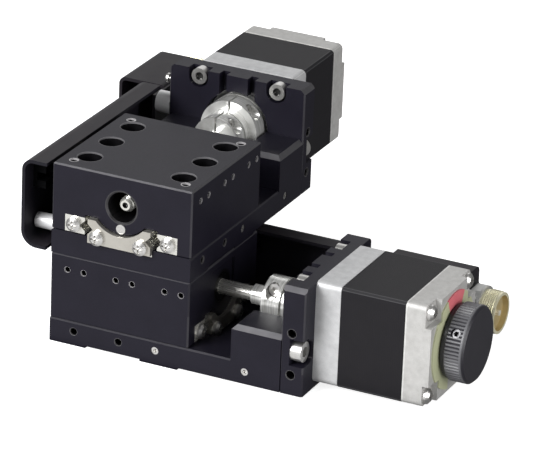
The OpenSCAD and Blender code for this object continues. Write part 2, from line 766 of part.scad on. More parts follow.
// Motor's rear casting, notched at its corners for the case screws
module motor_rear_cap() {
  inset = motor_w / 2 - notch_w;
  color(silver) difference() {
    along_x(rear_x0, rear_x1) motor_section(motor_w, motor_corner_r);
    rod_x(rear_x0 - cut, rear_x1 + cut, shaft_r + run_gap, 0, axis_z);
    for (y = [0, 1], z = [0, 1]) translate([0, 0, axis_z]) mirror([0, y, 0]) mirror([0, 0, z])
      bar([rear_x1 - notch_depth, inset, inset], [rear_x1 + cut, motor_w, motor_w]);
    motor_pattern(0) rod_x(rear_x0 - cut, rear_x1, m25_core_r + 0.1);
  }
}

// Long screws that hold the motor's castings and stack together
module motor_case_screws() {
  seat = rear_x1 - notch_depth;
  color(silver) motor_pattern(seat) rotate([0, 90, 0])
    pan_screw(m25_core_r, seat - stack_x0 + 2.2, 2.1, notch_depth - 0.1);
}

// Flat ring on the motor's rear, behind the knob
module motor_ring() {
  color("#b9bd8c") difference() {
    rod_x(rear_x1, rear_x1 + ring_t, ring_r, 0, axis_z);
    rod_x(rear_x1 - cut, rear_x1 + ring_t + cut, ring_hole_r, 0, axis_z);
    bar([rear_x1 - cut, -ring_hole_r / 3, axis_z - motor_w],
      [rear_x1 + cut, motor_w, axis_z - ring_hole_r / 3]);
    for (y = [0, 1], z = [0, 1]) translate([0, 0, axis_z]) mirror([0, y, 0]) mirror([0, 0, z])
      bar([rear_x1 - cut, motor_w / 2 - notch_w, motor_w / 2 - notch_w], [rear_x1 + cut, motor_w, motor_w]);
  }
}

// Outline of the sensor cover's section, grown or shrunk by an inset
module cover_section(inset) {
  high = max(cover_top_r - inset, 0.2);
  low = max(cover_low_r - inset, 0.2);
  y1 = cover_y1 - inset;
  y0 = cover_y0 - inset * 2;
  tall = cover_h - 2 * inset;
  intersection() {
    union() {
      translate([y0, inset]) square([y1 - low - y0, tall]);
      translate([y0, inset + low]) square([y1 - y0, tall - low - high]);
      translate([y0, inset + low]) square([y1 - high - y0, tall - low]);
      translate([y1 - low, inset + low]) circle(low);
      translate([y1 - high, cover_h - inset - high]) circle(high);
    }
    translate([y0, 0]) square([y1 - y0, cover_h]);
  }
}

// Long bent channel that covers the limit sensors
module sensor_cover() {
  color(black) difference() {
    along_x(cover_x0, cover_x1) difference() {
      cover_section(0);
      cover_section(sheet_t);
    }
    for (x = cover_spacer_x)
      rod_y(cover_y1 - cover_low_r, cover_y1 + cut, m3_core_r + 0.1, x, cover_spacer_z);
  }
}

// The cover's spacers end where their lower edge meets the inside of the lower bend
bend_r = cover_low_r - sheet_t;
bend_drop = cover_low_r - cover_spacer_z + cover_spacer_r;
cover_spacer_y1 = cover_y1 - cover_low_r + sqrt(max(bend_r * bend_r - bend_drop * bend_drop, 0));

// One spacer across the gap between the stage's side and a sheet, on its stud
module spacer(x, z, y1, tip, r, grip) {
  rod_y(half_w, y1, r, x, z);
  rod_y(half_w - grip, tip, m3_core_r - seat_play, x, z);
}

// Spacers that carry the sensor cover and the connector box
module spacers() {
  color("#d9d9dc") {
    for (x = cover_spacer_x)
      spacer(x, cover_spacer_z, cover_spacer_y1, cover_y1 - sheet_t / 2, cover_spacer_r, stud_grip);
    for (z = [side_tap_low, side_tap_high])
      spacer(side_tap_x, z, box_y0, box_y0 + sheet_t, box_spacer_r, side_tap_depth - 1);
  }
}

// Forked limit sensors on the cover's web, one at each end of the travel
module limit_sensors() {
  y1 = cover_y1 - sheet_t;
  half = sensor_slot / 2;
  color(dark) for (x = [-sensor_x + pair_x, sensor_x + pair_x]) translate([x, 0, sensor_z]) difference() {
    bar([-sensor_l / 2, sensor_y0, -half - sensor_prong], [sensor_l / 2, y1, half + sensor_prong]);
    bar([-sensor_l / 2 - cut, sensor_y0 - cut, -half], [sensor_l / 2 + cut, y1 - sensor_back, half]);
  }
}

// Bent flag on the table's side that passes through the sensors
module sensor_dog() {
  color(silver) {
    difference() {
      union() {
        bar([pair_x - 4, half_w, sensor_z - dog_t / 2], [pair_x + 4, half_w + dog_t, pair_z + 2]);
        bar([pair_x - dog_half, half_w, sensor_z - dog_t / 2],
          [pair_x + dog_half, sensor_y0 + 2, sensor_z + dog_t / 2]);
      }
      for (side = [-1, 1])
        rod_y(half_w - cut, half_w + dog_t + cut, m2_core_r + 0.2, pair_x + side * pair_gap / 2, pair_z);
    }
    for (side = [-1, 1]) translate([pair_x + side * pair_gap / 2, half_w + dog_t, pair_z]) rotate([-90, 0, 0])
      pan_screw(m2_core_r - seat_play, dog_t + pair_depth - 0.3, 1.4, 0.8);
  }
}

// Section of the connector box across the motor's axis
module box_section(inset) {
  r = max(box_r - inset, 0.2);
  y0 = box_y0 + inset;
  y1 = box_y1 - inset;
  z0 = box_z0 + inset;
  z1 = box_z1 - inset;
  union() {
    translate([y0, z0 + r]) square([y1 - y0, z1 - z0 - 2 * r]);
    translate([y0 + r, z0]) square([y1 - y0 - 2 * r, z1 - z0]);
    for (y = [y0 + r, y1 - r], z = [z0 + r, z1 - r]) translate([y, z]) circle(r);
  }
}

// Bent sheet box beside the motor, open at its front, with a tab on the bracket
module connector_box() {
  tab_low = side_tap_low - 4;
  tab_high = side_tap_high + 2.4;
  color(black) difference() {
    union() {
      difference() {
        along_x(box_x0, box_x1) box_section(0);
        along_x(box_x0 - cut, box_x1 - sheet_t) box_section(sheet_t);
      }
      bar([tab_x0, box_y0, tab_low], [box_x0 + 3, box_y0 + sheet_t, tab_high]);
    }
    for (z = [side_tap_low, side_tap_high])
      rod_y(box_y0 - cut, box_y0 + sheet_t + cut, m3_core_r + 0.05, side_tap_x, z);
    rod_x(box_x1 - sheet_t - cut, box_x1 + cut, shell_r - 0.8 + seat_play, box_mid_y, connector_z);
  }
}

// Round connector with its seal, fixing nut, shell and centre contact
module connector() {
  pin_face = shell_x1 - 1.6;
  color(gold) difference() {
    union() {
      rod_x(box_x1, box_x1 + seal_t, seal_r, box_mid_y, connector_z);
      rod_x(box_x1, shell_x0, nut_r, box_mid_y, connector_z);
      rod_x(shell_x0, shell_x1, shell_r, box_mid_y, connector_z);
      rod_x(box_x1 - sheet_t - 3, box_x1, shell_r - 0.8, box_mid_y, connector_z);
    }
    rod_x(pin_face, shell_x1 + cut, shell_r - 0.8, box_mid_y, connector_z);
    for (turn = [0 : 60 : 300]) translate([box_x1, box_mid_y, connector_z]) rotate([turn, 0, 0])
      bar([seal_t, -nut_r, nut_r * 0.93], [nut_l - 0.6, nut_r, nut_r + cut]);
  }
  color(silver) rod_x(pin_face - cut, shell_x1 - 0.4, contact_r, box_mid_y, connector_z);
}

// Cross section of the table's underside, cut for the rails
module table_channel() {
  translate([-outer_y1 - seat_play, 0]) square([2 * (outer_y1 + seat_play), table_z0 + outer_rail_h]);
  translate([-outer_y0, 0]) square([2 * outer_y0, tunnel_z0]);
}

// Table block that carries the load, with its corner holes bored for what goes into them
module table(corner_r) {
  top_seat = stage_h - counterbore_depth;
  color(black) difference() {
    union() {
      difference() {
        eased_block(-table_half, table_half, half_w, table_z0, stage_h, edge_chamfer);
        along_x(-table_half - cut, table_half + cut) table_channel();
      }
      intersection() {
        rod_x(-table_half, nut_face_x, nose_r, 0, scoop_z);
        bar([-table_half, -outer_y0, 0], [nut_face_x, outer_y0, stage_h - 1]);
      }
    }
    bar([nut_face_x, -tunnel_w / 2, tunnel_z0 - cut], [table_half + cut, tunnel_w / 2, tunnel_top]);
    rod_x(-table_half - cut, nut_face_x + cut, end_hole_r, 0, axis_z);
    translate([-table_half - cut, 0, axis_z]) rotate([0, 90, 0])
      cylinder(h = cut + edge_chamfer, r1 = end_hole_r + cut + edge_chamfer, r2 = end_hole_r);
    rod_x(-table_half - cut, 5 - table_half, pin_r + seat_play, 0, pin_z);
    for (x = [-1 : 1], side = [-1, 1]) translate([x * rail_screw_pitch, side * outer_mid, 0]) {
      rod_z(top_seat, stage_h + cut, counterbore_r);
      rod_z(table_z0, stage_h, 1.7);
    }
    square_pattern(bolt_pitch) rod_z(stage_h - table_hole_depth, stage_h + cut, corner_r);
    for (k = [-1 : 1], side = [-1, 1], wall = [0, 1]) mirror([0, wall, 0])
      translate([pair_x + k * pair_pitch + side * pair_gap / 2, half_w, pair_z])
        rod_y(-pair_depth, cut, m2_core_r);
  }
}

// Outer rails under the table, grooved on their inner sides
module outer_rails() {
  top = table_z0 + outer_rail_h;
  depth = vee_half - rail_gap / 2;
  color(steel) for (wall = [0, 1]) mirror([0, wall, 0]) difference() {
    along_x(-table_half, table_half) polygon([
      [outer_y0, table_z0], [outer_y1, table_z0], [outer_y1, top], [outer_y0, top],
      [outer_y0, guide_z + depth], [outer_y0 + depth, guide_z], [outer_y0, guide_z - depth],
    ]);
    for (x = [-1 : 1])
      rod_z(guide_z - 1, top + cut, m3_core_r + seat_play, x * rail_screw_pitch, outer_mid);
    for (end = [-1, 1])
      translate([end * (table_half - 2), 0, 0])
        rod_x(-3, 3, m2_core_r + seat_play, outer_mid, guide_z);
  }
}

// Screws that clamp the outer rails, and the stop screws in their ends
module rail_screws() {
  seat = stage_h - counterbore_depth;
  color(silver) rod_x(-table_half - 0.2, 4.6 - table_half, pin_r, 0, pin_z);
  color(silver) for (wall = [0, 1]) mirror([0, wall, 0]) {
    for (x = [-1 : 1]) translate([x * rail_screw_pitch, outer_mid, seat])
      cap_screw(m3_core_r, seat - guide_z + 0.8, m3_head_r, m3_head_l);
    facing_x(table_half, outer_mid, guide_z, 1) pan_screw(m2_core_r, 4, m2_head_r, m2_head_l);
    facing_x(-table_half, outer_mid, guide_z, -1) pan_screw(m2_core_r, 4, m2_head_r, m2_head_l);
  }
}

// Flanged nut pressed into the table's end wall
module feed_nut() {
  color(bronze) difference() {
    union() {
      rod_x(nut_face_x - nut_body_l, nut_face_x, end_hole_r - seat_play, 0, axis_z);
      rod_x(nut_face_x, nut_face_x + nut_flange_t, nut_flange_r, 0, axis_z);
    }
    rod_x(nut_face_x - nut_body_l - cut, nut_face_x + nut_flange_t + cut, screw_r + run_gap, 0, axis_z);
  }
}

// Feed screw from the table's end to the coupling, with a socket in its end
module feed_screw() {
  color(steel) difference() {
    union() {
      rod_x(screw_x0, bearing_x0 - 0.4, screw_r, 0, axis_z);
      rod_x(bearing_x0 - 0.4, screw_x1, journal_r, 0, axis_z);
    }
    translate([screw_x0 - cut, 0, axis_z]) rotate([0, 90, 0]) cylinder(h = cut + 2, r = 1, $fn = 6);
  }
}

// Places of the coupling's two clamp screws
hub_screw_x = hub_x0 + hub_slit_l / 2;
hub_screw_z = hub_r - 2.4;
drum_screw_x = drum_x0 + drum_slit_l / 2;
drum_screw_z = drum_r - 2.9;

// Slit along the top of a clamp and the cross slit at its end, for one end of the coupling
module clamp_slit(x0, l, r) {
  bar([x0 - slit_w, -slit_w / 2, axis_z], [x0 + l, slit_w / 2, axis_z + r + cut]);
  bar([x0 + l, -r - cut, axis_z - r * 0.3], [x0 + l + slit_w, r + cut, axis_z + r + cut]);
}

// Slit clamp coupling between the feed screw and the motor
module coupling() {
  color("#e2e2e0") difference() {
    union() {
      rod_x(collar_x0, hub_x0, collar_r, 0, axis_z);
      rod_x(hub_x0, drum_x0, hub_r, 0, axis_z);
      rod_x(drum_x0, drum_x1, drum_r, 0, axis_z);
    }
    rod_x(collar_x0 - cut, screw_x1 + 0.2, journal_r + seat_play, 0, axis_z);
    rod_x(shaft_x0 - 0.2, drum_x1 + cut, shaft_r + seat_play, 0, axis_z);
    clamp_slit(hub_x0, hub_slit_l, hub_r);
    clamp_slit(drum_x0, drum_slit_l, drum_r);
    rod_y(-hub_r - cut, 1.8, m2_core_r + seat_play, hub_screw_x, axis_z + hub_screw_z);
    rod_y(-hub_r - cut, -1.6, 1.9, hub_screw_x, axis_z + hub_screw_z);
    rod_y(-drum_r - cut, 4, m2_core_r + seat_play, drum_screw_x, axis_z + drum_screw_z);
    rod_y(-drum_r - cut, -2.4, 1.9, drum_screw_x, axis_z + drum_screw_z);
  }
}

// Clamp screws of the coupling and the knob's set screw
module clamp_screws() {
  color(silver) {
    translate([hub_screw_x, -1.6, axis_z + hub_screw_z]) rotate([90, 0, 0])
      cap_screw(m2_core_r, 3.2, 1.7, 1.7);
    translate([drum_screw_x, -2.4, axis_z + drum_screw_z]) rotate([90, 0, 0])
      cap_screw(m2_core_r, 6, 1.7, 2);
    set_screw();
  }
}

// Place something on the knob's side, where the set screw goes in
module at_set_screw() {
  translate([band_x0 + (knob_l - knob_chamfer) / 2, 0, axis_z]) rotate([-set_screw_turn, 0, 0]) children();
}

// Set screw in the knob's side
module set_screw() {
  head_y = rib_depth + 0.6 - knob_d / 2;
  at_set_screw() difference() {
    rod_y(head_y, -shaft_r, m3_core_r);
    translate([0, head_y + 1.5, 0]) rotate([90, 0, 0]) cylinder(h = 3, r = 0.75, $fn = 6);
  }
}

// Motor's rotor and its shaft, which comes out at both ends
module motor_rotor() {
  color(steel) {
    rod_x(shaft_x0, knob_x1 - 1.2, shaft_r, 0, axis_z);
  }
  color(dark) difference() {
    rod_x(stack_x0 + 0.6, rear_x0 - 0.6, rotor_r, 0, axis_z);
    rod_x(stack_x0, rear_x0, shaft_r + seat_play / 2, 0, axis_z);
  }
}

// Ribbed hand knob on the motor's rear shaft
module knob() {
  r = knob_d / 2;
  color("#242328") difference() {
    translate([0, 0, axis_z]) rotate([0, 90, 0]) rotate_extrude() polygon([
      [0, knob_x0], [knob_hub_r, knob_x0], [knob_hub_r, band_x0], [r - 0.4, band_x0],
      [r, band_x0 + 0.4], [r, knob_x1 - knob_chamfer], [r - knob_chamfer, knob_x1], [0, knob_x1],
    ]);
    rod_x(knob_x0 - cut, knob_x1 - 1.2, shaft_r + seat_play, 0, axis_z);
    at_set_screw() rod_y(-knob_d, 0, m3_core_r + seat_play);
    for (k = [0 : knob_ribs - 1]) translate([0, 0, axis_z]) rotate([360 * (k + 0.5) / knob_ribs, 0, 0])
      translate([band_x0 - cut, 0, r - rib_depth]) rotate([45, 0, 0])
        cube([knob_l - knob_chamfer - 0.4 + cut, 2 * rib_depth, 2 * rib_depth]);
  }
}

// Places of the rollers of one row
function roller_x(k) = (k - (roller_count - 1) / 2) * roller_pitch;

// Roller cages, each with a row of rollers that lie alternately crossed
module roller_cages() {
  mid = centre_rail_w / 2 + rail_gap / 2;
  length = roller_count * roller_pitch;
  window = roller_d / 2 + 0.1;
  window_h = (roller_d + roller_l) * sqrt(2) / 4 + 0.08;
  color(bronze) for (wall = [0, 1]) mirror([0, wall, 0]) difference() {
    bar([-length / 2, mid - cage_t / 2, guide_z - cage_h / 2],
      [length / 2, mid + cage_t / 2, guide_z + cage_h / 2]);
    for (k = [0 : roller_count - 1])
      bar([roller_x(k) - window, mid - cut, guide_z - window_h],
        [roller_x(k) + window, mid + cut, guide_z + window_h]);
  }
  color(steel) for (wall = [0, 1]) mirror([0, wall, 0])
    for (k = [0 : roller_count - 1]) translate([roller_x(k), mid, guide_z])
      rotate([k % 2 == 0 ? 45 : -45, 0, 0]) cylinder(h = roller_l, r = roller_d / 2, center = true);
}

// Lower stage, whose frame is the part's own
module lower_stage() {
  children();
}

// Upper stage, turned a quarter turn and standing on the lower table
module upper_stage() {
  translate([0, 0, stage_h]) rotate([0, 0, 90]) children();
}

lower_stage() base();  // lower_base
lower_stage() centre_rail();  // lower_centre_rail
lower_stage() end_plates();  // lower_end_plates
lower_stage() base_screws(false);  // lower_base_screws
lower_stage() bearing_block();  // lower_bearing_block
lower_stage() bearing_outer_rings();  // lower_bearing_outer_rings
lower_stage() motor_bracket();  // lower_motor_bracket
lower_stage() bracket_screws();  // lower_bracket_screws
lower_stage() motor_flange();  // lower_motor_flange
lower_stage() motor_stator();  // lower_motor_stator
lower_stage() motor_rear_cap();  // lower_motor_rear_cap
lower_stage() motor_case_screws();  // lower_motor_case_screws
lower_stage() motor_ring();  // lower_motor_ring
lower_stage() sensor_cover();  // lower_sensor_cover
lower_stage() spacers();  // lower_spacers
lower_stage() limit_sensors();  // lower_limit_sensors
lower_stage() connector_box();  // lower_connector_box
lower_stage() connector();  // lower_connector
lower_stage() table(m25_r);  // lower_table
lower_stage() outer_rails();  // lower_outer_rails
lower_stage() rail_screws();  // lower_rail_screws
lower_stage() feed_nut();  // lower_feed_nut
lower_stage() sensor_dog();  // lower_sensor_dog
lower_stage() feed_screw();  // lower_feed_screw
lower_stage() bearing_inner_rings();  // lower_bearing_inner_rings
lower_stage() coupling();  // lower_coupling
lower_stage() clamp_screws();  // lower_clamp_screws
lower_stage() motor_rotor();  // lower_motor_rotor
lower_stage() knob();  // lower_knob
lower_stage() roller_cages();  // lower_roller_cages
upper_stage() base();  // upper_base
upper_stage() centre_rail();  // upper_centre_rail
upper_stage() end_plates();  // upper_end_plates
upper_stage() base_screws(true);  // upper_base_screws
upper_stage() bearing_block();  // upper_bearing_block
upper_stage() bearing_outer_rings();  // upper_bearing_outer_rings
upper_stage() motor_bracket();  // upper_motor_bracket
upper_stage() bracket_screws();  // upper_bracket_screws
upper_stage() motor_flange();  // upper_motor_flange
upper_stage() motor_stator();  // upper_motor_stator
upper_stage() motor_rear_cap();  // upper_motor_rear_cap
upper_stage() motor_case_screws();  // upper_motor_case_screws
upper_stage() motor_ring();  // upper_motor_ring
upper_stage() sensor_cover();  // upper_sensor_cover
upper_stage() spacers();  // upper_spacers
upper_stage() limit_sensors();  // upper_limit_sensors
upper_stage() connector_box();  // upper_connector_box
upper_stage() connector();  // upper_connector
upper_stage() table(m25_core_r);  // upper_table
upper_stage() outer_rails();  // upper_outer_rails
upper_stage() rail_screws();  // upper_rail_screws
upper_stage() feed_nut();  // upper_feed_nut
upper_stage() sensor_dog();  // upper_sensor_dog
upper_stage() feed_screw();  // upper_feed_screw
upper_stage() bearing_inner_rings();  // upper_bearing_inner_rings
upper_stage() coupling();  // upper_coupling
upper_stage() clamp_screws();  // upper_clamp_screws
upper_stage() motor_rotor();  // upper_motor_rotor
upper_stage() knob();  // upper_knob
upper_stage() roller_cages();  // upper_roller_cages
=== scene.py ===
import json
import math

import bmesh
import bpy
from mathutils import Matrix, Vector


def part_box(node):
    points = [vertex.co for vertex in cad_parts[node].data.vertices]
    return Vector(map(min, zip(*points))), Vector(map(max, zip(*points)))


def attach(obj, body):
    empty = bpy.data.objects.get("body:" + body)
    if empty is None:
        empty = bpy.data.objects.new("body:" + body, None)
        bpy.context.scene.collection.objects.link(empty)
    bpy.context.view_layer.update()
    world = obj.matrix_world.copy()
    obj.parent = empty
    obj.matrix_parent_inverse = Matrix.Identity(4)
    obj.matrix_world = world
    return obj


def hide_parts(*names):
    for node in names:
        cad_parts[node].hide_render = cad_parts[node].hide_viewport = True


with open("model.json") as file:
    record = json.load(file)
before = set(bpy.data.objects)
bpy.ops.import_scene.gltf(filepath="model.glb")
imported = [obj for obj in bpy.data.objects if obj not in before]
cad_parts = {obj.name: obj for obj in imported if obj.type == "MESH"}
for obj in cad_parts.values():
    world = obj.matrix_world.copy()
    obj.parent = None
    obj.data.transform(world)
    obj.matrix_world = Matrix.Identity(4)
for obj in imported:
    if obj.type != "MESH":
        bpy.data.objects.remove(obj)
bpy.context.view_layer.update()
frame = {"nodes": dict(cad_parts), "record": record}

MM = 0.001
STAGES = ("lower", "upper")

# Sizes that both stages share, in millimetres along a stage's own axes:
# x along the travel towards the motor, y across it, z up from the base
STAGE_HEIGHT = 25.0
TABLE_HALF = 20.0
TABLE_ZONE_Z = 15.5
BASE_HEIGHT = 6.8
AXIS_Z = 16.5
TUNNEL_RADIUS = 4.7
BEARING_X = 8.0
BEARING_DARK_RADIUS = 4.1
BEARING_BORE_RADIUS = 2.1
BRACKET_X = 40.0
STACK_SHEET = 0.5
STACK_BEVEL = 0.6
KNOB_X = 86.0
KNOB_RADIUS = 10.3
CONNECTOR_Z = 11.6
SEAL_LENGTH = 1.8
NUT_LENGTH = 5.0
SHELL_RADIUS = 5.6
CONTACT_RADIUS = 0.9

# Holes whose insides painted shade darkens: where their axes stand, then their radius
WELL_PITCH, WELL_Y, WELL_RADIUS = 12, 13.5, 3.4
PAIR_PITCH, PAIR_X, PAIR_HALF, PAIR_Z, PAIR_RADIUS = 14, 1.2, 2.35, 21, 0.86
CORNER_OFFSET, CORNER_RADIUS = 16, 1.32
BASE_TAP_X, BASE_TAP_HALF, BASE_TAP_Z, BASE_TAP_RADIUS = -6.5, 6.5, 3.9, 1.12
BRACKET_TAP_X, BRACKET_TAP_Z, BRACKET_TAP_HALF, BRACKET_TAP_RADIUS = 49.1, 11.85, 5.75, 1.32
MOTOR_SCREW_OFFSET, MOTOR_SOCKET_RADIUS = 11.5, 1.15
FOOT_SCREW_Y, FOOT_SCREW_Z, FOOT_SOCKET_RADIUS = 17.1, 12, 1.3
SIDE_HOLE_Y = 15

# Depth of the paler rim at a hole's mouth, where a painted highlight lies
HOLE_RIM = 0.45
TUNNEL_RIM = 0.4

# Feed screw: its thread, and the plain journal that runs in the bearings
SCREW_PITCH = 1.0
THREAD_ROOT, THREAD_CREST = 1.65, 2.09
CORE_RADIUS, JOURNAL_RADIUS = 1.75, 1.98
CENTRE_HOLE_RADIUS = 0.8

# Where each stage stands: the upper one is turned a quarter turn on the lower table
STAGE_PLACE = {
    "lower": Matrix.Scale(MM, 4),
    "upper": (
        Matrix.Translation((0, 0, STAGE_HEIGHT * MM))
        @ Matrix.Rotation(math.pi / 2, 4, "Z")
        @ Matrix.Scale(MM, 4)
    ),
}


def span(node):
    """Lowest and highest corner of one of the lower stage's pieces, in millimetres."""
    low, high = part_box("lower_" + node)
    return low / MM, high / MM


box_low, box_high = span("connector_box")
screw_low, screw_high = span("feed_screw")
cover_low = span("sensor_cover")[0]
flange_low = span("motor_flange")[0]
rear_low = span("motor_rear_cap")[0]
stack_half = span("motor_stator")[1].y
journal_start = span("bearing_block")[0].x - 0.4
shell_start = box_high.x + NUT_LENGTH
shell_end = span("connector")[1].x
screw_axis = (0.0, AXIS_Z)
connector_axis = ((box_low.y + box_high.y) / 2, CONNECTOR_Z)


# Finishes


class Value:
    """One socket of a finish; sums written on it add Math nodes."""

    def __init__(self, finish, socket):
        self.finish = finish
        self.socket = socket

    def work(self, operation, *terms):
        return self.finish.node("Math", {"operation": operation}, dict(enumerate((self, *terms))))

    def __add__(self, other):
        return self.work("ADD", other)

    __radd__ = __add__

    def __sub__(self, other):
        return self.work("SUBTRACT", other)

    def __rsub__(self, other):
        return self.work("MULTIPLY_ADD", -1, other)

    def __mul__(self, other):
        return self.work("MULTIPLY", other)

    __rmul__ = __mul__

    def __pow__(self, other):
        return self.work("POWER", other)

    def __gt__(self, other):
        return self.work("GREATER_THAN", other)

    def __lt__(self, other):
        return self.work("LESS_THAN", other)

    def __or__(self, other):
        return self.work("MAXIMUM", other)

    def __abs__(self):
        return self.work("ABSOLUTE")

    def every(self, pitch):
        """Fold a coordinate so that it repeats about 0 at a pitch."""
        return self.work("WRAP", pitch / 2, -pitch / 2)


class Finish:
    """A material's nodes, read in the frame of one stage, in millimetres."""

    def __init__(self, name, stage):
        self.material = bpy.data.materials.new(stage + "_" + name)
        self.material.use_nodes = True
        self.tree = self.material.node_tree
        self.tree.nodes.clear()
        upper = stage == "upper"
        turn = (0, 0, -math.pi / 2 if upper else 0)
        self.place = self.node("Mapping", {}, {
            "Vector": self.node("TexCoord", out="Object"),
            "Location": (0, 0, -STAGE_HEIGHT if upper else 0),
            "Rotation": turn,
            "Scale": (1 / MM,) * 3,
        })
        self.x, self.y, self.z = self.parts(self.place)
        self.facing = self.parts(self.node("Mapping", {"vector_type": "NORMAL"}, {
            "Vector": self.node("TexCoord", out="Normal"),
            "Rotation": turn,
        }))

    def node(self, kind, settings=None, inputs=None, out=0):
        """Add a node: its type, its settings, then what its sockets are given."""
        node = self.tree.nodes.new("ShaderNode" + kind)
        for name, value in (settings or {}).items():
            setattr(node, name, value)
        for name, value in (inputs or {}).items():
            if isinstance(value, Value):
                self.tree.links.new(value.socket, node.inputs[name])
            else:
                node.inputs[name].default_value = value
        return Value(self, node.outputs[out]) if node.outputs else node

    def parts(self, vector):
        """The three components of a vector."""
        return [self.node("SeparateXYZ", {}, {0: vector}, out=k) for k in range(3)]

    def grain(self, size, stretch=(1, 1, 1), detail=2.0):
        """Fine noise of a size in millimetres, drawn out along the axes by a stretch."""
        at = self.node("Mapping", {}, {
            "Vector": self.place,
            "Scale": tuple(1 / (size * s) for s in stretch),
        })
        return self.node("TexNoise", {}, {
            "Vector": at, "Scale": 1.0, "Detail": detail, "Roughness": 0.55,
        })

    def blend(self, share, first, second):
        """A colour between two others."""
        ends = [c if isinstance(c, Value) else (*c, 1) for c in (first, second)]
        return self.node("Mix", {"data_type": "RGBA"}, {0: share, 6: ends[0], 7: ends[1]}, out=2)

    def clamp(self, value, low, high):
        """Stretch a value so that low becomes 0 and high becomes 1."""
        return self.node("MapRange", {"clamp": True}, {
            "Value": value, "From Min": low, "From Max": high,
        })

    def edges(self):
        """1 on chamfers, at half a right angle to the stage's faces, and 0 on those faces."""
        x, y, z = (abs(part) for part in self.facing)
        return self.clamp(1 - (x | y | z), 0.24, 0.285)

    def close(self, colour, roughness, metallic=0.0, bump=None, depth=0.01, strength=0.3, **fixed):
        """End the finish in one shader; the bump's depth is in millimetres."""
        inputs = {"Base Color": colour, "Roughness": roughness, "Metallic": metallic}
        if bump is not None:
            inputs["Normal"] = self.node("Bump", {}, {
                "Height": bump, "Distance": depth * MM, "Strength": strength,
            })
        inputs.update({name.replace("_", " "): value for name, value in fixed.items()})
        self.node("OutputMaterial", {}, {"Surface": self.node("BsdfPrincipled", {}, inputs)})
        return self.material


def within(radius, across, along):
    """1 nearer than a radius to a line, given the two distances from it."""
    return (across ** 2 + along ** 2) ** 0.5 < radius


def black_anodised(stage):
    """Base, bearing block, bracket and table: black aluminium, uncoated where cut, with painted
    highlights and painted shade.
    """
    f = Finish("black_anodised", stage)
    cloud = f.grain(9, detail=5)
    fine = f.grain(0.3)
    share = cloud * 0.55 + fine * 0.45
    colour = f.blend(share, (0.0046, 0.0040, 0.0082), (0.0146, 0.0132, 0.0226))
    on_table = (abs(f.x) < TABLE_HALF + 0.1) * (f.z > TABLE_ZONE_Z)
    # Chamfers are cut through the black and paler; a painted highlight makes those that look up
    # brightest and upright ones less bright, and painted shade dims those under the table or the
    # stage above
    edge_shade = (f.z < BASE_HEIGHT) * 0.8
    if stage == "lower":
        edge_shade = edge_shade | on_table * 0.7
    light_from_above = 0.3 + (f.facing[2] > 0.4) * 0.7
    uncoated_edge_and_highlight = f.edges() * (0.36 + f.grain(5) * 0.64) * light_from_above * (1 - edge_shade)
    colour = f.blend(uncoated_edge_and_highlight, colour, (0.18, 0.177, 0.187))
    # Painted shade darkens the screw wells and the tunnel, and a painted highlight makes their
    # rims paler
    well = within(WELL_RADIUS, f.x.every(WELL_PITCH), abs(f.y) - WELL_Y) * on_table
    tunnel = within(TUNNEL_RADIUS, f.y, f.z - AXIS_Z) * (f.x < TABLE_HALF + 0.1)
    top_rim = f.z > STAGE_HEIGHT - HOLE_RIM
    end_rim = f.x < TUNNEL_RIM - TABLE_HALF
    colour = f.blend(well | tunnel, colour, (0.0032, 0.0030, 0.0040))
    colour = f.blend(well * top_rim | tunnel * end_rim * 0.3, colour, (0.150, 0.147, 0.155))
    # Painted shade darkens the tapped holes within; at the mouth they are uncoated metal with a
    # painted highlight
    near_side = abs(f.y) > SIDE_HOLE_Y
    pair_x = abs((f.x - PAIR_X).every(PAIR_PITCH)) - PAIR_HALF
    pairs = within(PAIR_RADIUS, pair_x, f.z - PAIR_Z) * near_side * on_table
    corners = within(CORNER_RADIUS, abs(f.x) - CORNER_OFFSET, abs(f.y) - CORNER_OFFSET) * on_table
    base_tap_x = abs(f.x - BASE_TAP_X) - BASE_TAP_HALF
    base_taps = within(BASE_TAP_RADIUS, base_tap_x, f.z - BASE_TAP_Z) * near_side
    bracket_tap_z = abs(f.z - BRACKET_TAP_Z) - BRACKET_TAP_HALF
    bracket_taps = within(BRACKET_TAP_RADIUS, f.x - BRACKET_TAP_X, bracket_tap_z) * near_side
    side_rim = abs(f.y) > TABLE_HALF - HOLE_RIM
    colour = f.blend(pairs | corners | base_taps | bracket_taps, colour, (0.004, 0.0038, 0.0045))
    uncoated_mouth_and_highlight = corners * top_rim | pairs * side_rim * 0.9 | (base_taps | bracket_taps) * side_rim * 0.3
    colour = f.blend(uncoated_mouth_and_highlight, colour, (0.38, 0.37, 0.38))
    roughness = 0.36 + fine * 0.16 - uncoated_edge_and_highlight * 0.08
    return f.close(colour, roughness, uncoated_edge_and_highlight * 0.85, fine, 0.012, 0.35, Specular_IOR_Level=0.2)


def black_sheet(stage):
    """Sensor cover and connector box: bent sheet in black paint."""
    f = Finish("black_sheet", stage)
    cloud = f.grain(6)
    peel = f.grain(0.5)
    colour = f.blend(cloud, (0.0105, 0.0088, 0.0118), (0.0175, 0.0145, 0.0195))
    # Painted shade darkens the cut end and the inside of the channel below the outside's colour
    cut_end = f.x < cover_low.x + 0.05
    inside = (f.facing[1] < -0.5) * (f.x < box_low.x - 0.05)
    colour = f.blend(inside * 0.6 | cut_end * 0.9, colour, (0.0075, 0.0070, 0.0115))
    return f.close(colour, 0.42 + cloud * 0.12, 0.0, peel, 0.02, 0.25, Specular_IOR_Level=0.2)


